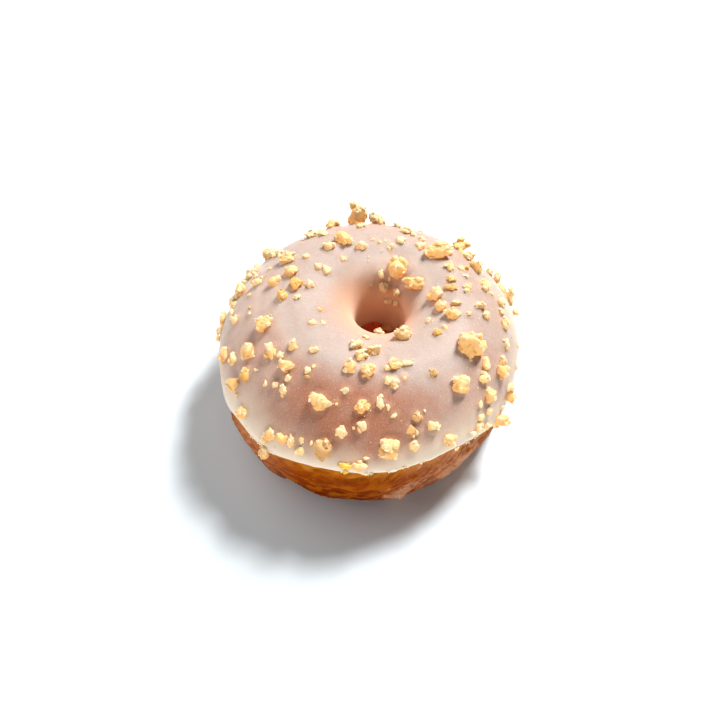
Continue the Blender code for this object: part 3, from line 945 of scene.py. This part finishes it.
# The crust's colours, from just below the icing to its foot, a painted light for the crust in the hole, a
# sugar film with painted sheen, and the glaze's on it
CRUST_GOLD = (0.50, 0.185, 0.018)
CRUST_AMBER = (0.42, 0.11, 0.002)
CRUST_BROWN = (0.28, 0.046, 0.0002)
CRUST_DARK = (0.12, 0.014, 0.0002)
CRUST_HOLE_PAINTED_LIGHT = (0.95, 0.20, 0.09)
CRUST_FILM_AND_SHEEN = (0.82, 0.42, 0.225)
GLAZE_ON_CRUST = (0.52, 0.25, 0.13)
GLAZE_THIN = (0.36, 0.125, 0.045)


def crust_look():
    look = Look("fried_crust")
    below = look.point_value("below_edge")
    fold = look.point_value("fold")
    glaze = look.point_value("glaze")
    streak = look.point_value("streak")
    blotch = look.grain(2.6 * MM, 4.0, 0.65)
    mottle = look.grain(0.8 * MM, 3.0, 0.65)
    gold = look.span(look.sum(below, look.sum(streak, 0.14, "MULTIPLY")), 0.07, 0.25, 0.9, 0.0)
    dark = look.span(look.sum(below, look.sum(blotch, 0.45, "MULTIPLY")), 0.38, 0.85)
    colour = look.blend(gold, CRUST_BROWN, CRUST_GOLD)
    colour = look.blend(dark, colour, CRUST_DARK)
    lighter = look.span(look.sum(streak, look.sum(mottle, 0.9, "MULTIPLY")), 0.88, 1.25)
    colour = look.blend(look.sum(lighter, 0.5, "MULTIPLY"), colour, CRUST_AMBER)
    darker = look.span(look.sum(blotch, look.sum(mottle, 0.6, "MULTIPLY")), 0.78, 0.55)
    colour = look.blend(look.sum(darker, 0.3, "MULTIPLY"), colour, CRUST_DARK)
    # painted shade: darker in the creases of the folds
    colour = look.blend(look.span(fold, 0.55, 0.0, 0.0, 0.35), colour, CRUST_DARK)
    patchy = look.span(look.sum(mottle, streak), 0.7, 1.3, 0.35, 1.3)
    # a pinkish sugar film, partly painted sheen at the sides
    film_and_sheen = look.sum(look.point_value("film_and_sheen"), patchy, "MULTIPLY")
    colour = look.blend(film_and_sheen, colour, CRUST_FILM_AND_SHEEN)
    # painted light: the crust in the hole made much brighter than outside
    colour = look.blend(look.sum(look.point_value("in_hole"), 0.85, "MULTIPLY"), colour, CRUST_HOLE_PAINTED_LIGHT)
    glaze_share = look.sum(glaze, look.span(mottle, 0.3, 0.7, 0.45, 0.85), "MULTIPLY")
    colour = look.blend(glaze_share, colour, GLAZE_ON_CRUST)
    rough = look.span(mottle, 0.35, 0.7, 0.6, 0.75)
    fine = look.bump(look.grain(0.5 * MM, 3.0, 0.6, (1, 1, 1.6)), 0.10 * MM)
    return look.finish(
        Base_Color=colour, Roughness=look.sum(rough, look.sum(glaze, 0.3, "MULTIPLY"), "SUBTRACT"),
        Normal=fine, Subsurface_Weight=0.06, Subsurface_Radius=(1.0, 0.35, 0.1), Subsurface_Scale=1.0 * MM,
        Specular_IOR_Level=0.03,
    )


# The icing's colours where it is thin, thick, pooled at its edge and in the hole (partly painted light),
# painted light deep in the hole and where it turns from the key light, painted shade where it faces the key
# light and round the crumbs, sugar white and the lip's painted highlight
ICING_THIN = (0.405, 0.152, 0.072)
ICING_THICK = (0.465, 0.355, 0.297)
ICING_POOL = (0.78, 0.645, 0.49)
ICING_IN_HOLE_PARTLY_PAINTED = (0.66, 0.375, 0.24)
ICING_DEEP_PAINTED_LIGHT = (0.80, 0.50, 0.34)
ICING_PAINTED_LIGHT_WHERE_SHADED = (0.68, 0.54, 0.46)
ICING_PAINTED_SHADE_WHERE_LIT = (0.41, 0.285, 0.225)
ICING_PAINTED_SHADE_BY_CRUMB = (0.58, 0.31, 0.15)
SUGAR_WHITE = (0.86, 0.78, 0.72)
LIP_PAINTED_HIGHLIGHT = (0.98, 0.90, 0.76)


def icing_look():
    look = Look("sugar_icing")
    slow = look.grain(4.0 * MM, 3.0, 0.55)
    thin = look.sum(look.point_value("thin"), look.span(slow, 0.3, 0.7, -0.12, 0.12))
    # painted light: lighter where the icing turns away from the key light
    colour = look.blend(look.point_value("painted_light_where_shaded"), ICING_THICK, ICING_PAINTED_LIGHT_WHERE_SHADED)
    # painted shade: darker where the icing faces the key light
    colour = look.blend(look.point_value("painted_shade_where_lit"), colour, ICING_PAINTED_SHADE_WHERE_LIT)
    colour = look.blend(look.span(thin, 0.0, 1.0), colour, ICING_THIN)
    # warmer where the icing lies thin over the crust in the hole, and painted brighter there to stand in for
    # light shining through the ring
    colour = look.blend(look.point_value("hole"), colour, ICING_IN_HOLE_PARTLY_PAINTED)
    # painted light: brighter still deep in the hole
    colour = look.blend(look.point_value("deep"), colour, ICING_DEEP_PAINTED_LIGHT)
    colour = look.blend(look.point_value("pool"), colour, ICING_POOL)
    # painted shade: a warm darker tint round each crumb
    near_crumb = look.sum(look.point_value("near_crumb"), 0.35, "MULTIPLY")
    colour = look.blend(near_crumb, colour, ICING_PAINTED_SHADE_BY_CRUMB)
    # painted highlight: a bright line along the outer edge
    colour = look.blend(look.sum(look.point_value("lip"), 0.8, "MULTIPLY"), colour, LIP_PAINTED_HIGHLIGHT)
    speckle = look.grain(0.33 * MM, 2.0, 0.7)
    colour = look.blend(look.span(speckle, 0.50, 0.74, 0.0, 0.26), colour, SUGAR_WHITE)
    colour = look.blend(look.span(look.spots(1.5 * MM), 0.17, 0.1, 0.0, 0.16), colour, SUGAR_WHITE)
    normal = look.bump(look.grain(0.35 * MM, 3.0, 0.65), 0.035 * MM)
    return look.finish(
        Base_Color=colour, Roughness=look.span(speckle, 0.3, 0.7, 0.54, 0.66), Normal=normal,
        Subsurface_Weight=0.6, Subsurface_Radius=(1.0, 0.45, 0.25), Subsurface_Scale=2.0 * MM,
        Specular_IOR_Level=0.5,
    )


# Each kind of crumb's light and middle colours, and its deep colour: painted shade in the pits and on the
# side turned away from the key light
CRUMB_COLOURS = {
    "golden_lumps": ((0.96, 0.66, 0.34), (0.95, 0.55, 0.21), (0.94, 0.46, 0.11)),
    "golden_crumbs": ((0.97, 0.73, 0.43), (0.97, 0.66, 0.32), (0.97, 0.58, 0.20)),
    "pale_crumbs": ((0.97, 0.79, 0.50), (0.97, 0.72, 0.40), (0.97, 0.63, 0.27)),
    "amber_crumbs": ((0.90, 0.56, 0.22), (0.84, 0.44, 0.12), (0.76, 0.32, 0.04)),
    "veiled_crumbs": ((0.78, 0.47, 0.18), (0.70, 0.38, 0.11), (0.64, 0.29, 0.05)),
    "yellow_crumbs": ((0.93, 0.68, 0.20), (0.88, 0.58, 0.08), (0.80, 0.46, 0.02)),
    "crumb_granules": ((0.97, 0.82, 0.56), (0.96, 0.75, 0.45), (0.95, 0.64, 0.28)),
}
VEIL_COLOUR = (0.65, 0.43, 0.26)


def crumb_look(name):
    light, middle, deep = CRUMB_COLOURS[name]
    look = Look(name)
    cloud = look.grain(1.8 * MM, 3.0, 0.6)
    grit = look.grain(0.4 * MM, 2.0, 0.6)
    tone = look.span(look.point_value("tone"), 0, 1, 0.2, 0.8)
    lightness = look.sum(look.span(cloud, 0.35, 0.65, -0.35, 0.35), tone)
    colour = look.blend(look.span(lightness, 0.1, 0.9), middle, light)
    # painted shade: the deep colour in pits and on the side away from the key light
    painted_shade = look.sum(look.span(look.point_value("pit"), 0.5, 1.0, 0.0, 0.25), look.point_value("low"))
    colour = look.blend(look.span(painted_shade, 0.3, 1.2, 0.0, 0.9), colour, deep)
    colour = look.blend(look.span(grit, 0.58, 0.74, 0.0, 0.35), colour, light)
    colour = look.blend(look.span(look.point_value("veil"), 0.1, 1.0, 0.0, 0.8), colour, VEIL_COLOUR)
    return look.finish(
        Base_Color=colour, Roughness=look.span(grit, 0.3, 0.7, 0.5, 0.68),
        Normal=look.bump(grit, 0.04 * MM), Subsurface_Weight=0.2, Subsurface_Radius=(0.6, 0.8, 0.6),
        Subsurface_Scale=0.3 * MM, Specular_IOR_Level=0.15,
    )


def glaze_look():
    look = Look("sugar_glaze")
    cloud = look.grain(1.2 * MM, 3.0, 0.6)
    colour = look.blend(look.span(cloud, 0.3, 0.7), GLAZE_THIN, GLAZE_ON_CRUST)
    return look.finish(
        Base_Color=colour, Roughness=look.span(cloud, 0.3, 0.7, 0.32, 0.48),
        Normal=look.bump(look.grain(0.5 * MM, 2.0), 0.05 * MM), Subsurface_Weight=0.4,
        Subsurface_Radius=(1.0, 0.5, 0.3), Subsurface_Scale=1.0 * MM, Specular_IOR_Level=0.4,
    )


def plain_look(name, colour, roughness):
    return Look(name).finish(Base_Color=(*colour, 1), Roughness=roughness, Specular_IOR_Level=0.1)


# Stage


def make_stage():
    bpy.ops.mesh.primitive_plane_add(size=FLOOR_WIDTH)
    floor = bpy.context.object
    floor.name = "floor"
    floor.data.materials.append(plain_look("white_floor", FLOOR_COLOUR, 0.9))
    for name, (direction, *sizes) in LAMPS.items():
        add_lamp(name, Vector(direction).normalized(), *sizes)
    make_room()
    bpy.context.scene.view_settings.view_transform = "Standard"


def add_lamp(name, direction, distance, width, height, share):
    """A soft lamp aimed at the ring, as strong as its share of the floor's brightness needs."""
    lamp = bpy.data.lights.new(name, "AREA")
    lamp.shape = "ELLIPSE"
    lamp.size, lamp.size_y = width, height
    lamp.energy = share * math.pi**2 * (distance**2 + width * height / 4) / (FLOOR_REFLECTANCE * direction.z)
    item = bpy.data.objects.new(name, lamp)
    item.location = direction * distance
    item.rotation_euler = direction.to_track_quat("Z", "Y").to_euler()
    bpy.context.scene.collection.objects.link(item)


def make_room():
    """A dim room, bright towards one side like a wide soft panel, with a plain pale backdrop."""
    world = bpy.data.worlds.new("soft_room")
    bpy.context.scene.world = world
    world.use_nodes = True
    nodes, links = world.node_tree.nodes, world.node_tree.links
    background = nodes["Background"]
    direction = nodes.new("ShaderNodeTexCoord").outputs["Generated"]
    towards = nodes.new("ShaderNodeVectorMath")
    towards.operation = "DOT_PRODUCT"
    towards.inputs[1].default_value = Vector(ROOM_SIDE).normalized()
    strength = nodes.new("ShaderNodeMapRange")
    strength.interpolation_type = "SMOOTHSTEP"
    strength.inputs["From Min"].default_value, strength.inputs["From Max"].default_value = ROOM_EDGE
    strength.inputs["To Min"].default_value = ROOM_DIM
    strength.inputs["To Max"].default_value = ROOM_BRIGHT
    links.new(direction, towards.inputs[0])
    links.new(towards.outputs["Value"], strength.inputs["Value"])
    backdrop = nodes.new("ShaderNodeMix")
    links.new(nodes.new("ShaderNodeLightPath").outputs["Is Camera Ray"], backdrop.inputs[0])
    links.new(strength.outputs["Result"], backdrop.inputs[2])
    backdrop.inputs[3].default_value = BACKDROP
    links.new(backdrop.outputs[0], background.inputs["Strength"])
    background.inputs["Color"].default_value = (1, 1, 1, 1)


def make_camera():
    eye, right, up, towards = view_axes()
    camera = bpy.data.cameras.new("camera")
    camera.sensor_width = SENSOR
    camera.lens = SENSOR * EYE_DISTANCE / (PICTURE_PIXELS * PIXEL)
    camera.shift_x = (PICTURE_PIXELS / 2 - MIDDLE_PIXEL[0]) / PICTURE_PIXELS
    camera.shift_y = (MIDDLE_PIXEL[1] - PICTURE_PIXELS / 2) / PICTURE_PIXELS
    camera.clip_start = 0.01
    item = bpy.data.objects.new("camera", camera)
    item.matrix_world = Matrix.LocRotScale(eye, Matrix((right, up, towards)).transposed(), None)
    bpy.context.scene.collection.objects.link(item)
    bpy.context.scene.camera = item


def ride(item, look, node):
    item.data.materials.clear()
    item.data.materials.append(look)
    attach(item, "root")
    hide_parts(node)


def main():
    make_camera()
    make_stage()
    dough = make_dough()
    grid, from_outer, outward, inside = make_icing_grid()
    smooth_icing = ring("icing_surface", grid, {})
    pieces, placed = make_crumbs(surface_of(smooth_icing))
    bpy.data.objects.remove(smooth_icing, do_unlink=True)
    grid, near_crumb = climb(grid, inside, placed)
    icing = ring("icing_coat", grid, film_values(grid, from_outer, outward, near_crumb))
    ride(dough, crust_look(), "dough_ring")
    ride(make_glaze_drop(surface_of(dough)), glaze_look(), "icing")
    ride(icing, icing_look(), "icing")
    for name, item in pieces.items():
        ride(item, crumb_look(name), "icing")


main()
